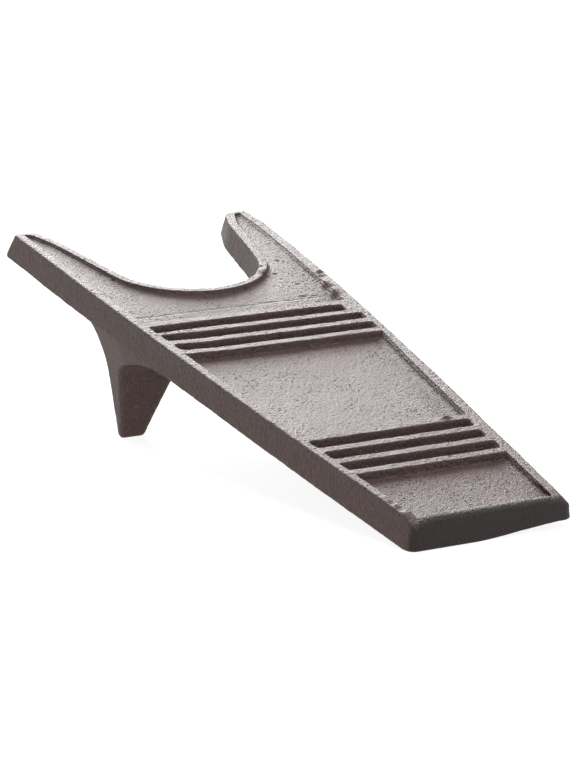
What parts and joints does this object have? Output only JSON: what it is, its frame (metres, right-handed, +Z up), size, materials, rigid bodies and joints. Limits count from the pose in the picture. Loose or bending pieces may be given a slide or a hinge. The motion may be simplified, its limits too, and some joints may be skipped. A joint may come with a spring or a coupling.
{
  "type": "boot jack",
  "caption": "Cast iron boot jack: tapered tread deck with a raised rim and cross bars, a forked heel end that grips a boot heel, and two tapered legs.",
  "frame": {"origin": "on the floor, under the middle of the bounding box", "axes": "+Z up, +Y from the toe towards the horns of the fork, +X to the right when looking from the toe to the fork; the deck rises 11.3 degrees towards +Y"},
  "size_m": [0.1046, 0.2861, 0.066],
  "materials": {
    "iron": "sand-cast iron with a thin coat of dark brown-black paint, satin on the raised faces"
  },
  "bodies": {
    "root": {"deck": "iron", "left_horn": "iron", "right_horn": "iron", "rim": "iron", "upper_treads": "iron", "lower_treads": "iron", "left_leg": "iron", "right_leg": "iron"}
  },
  "joints": []
}
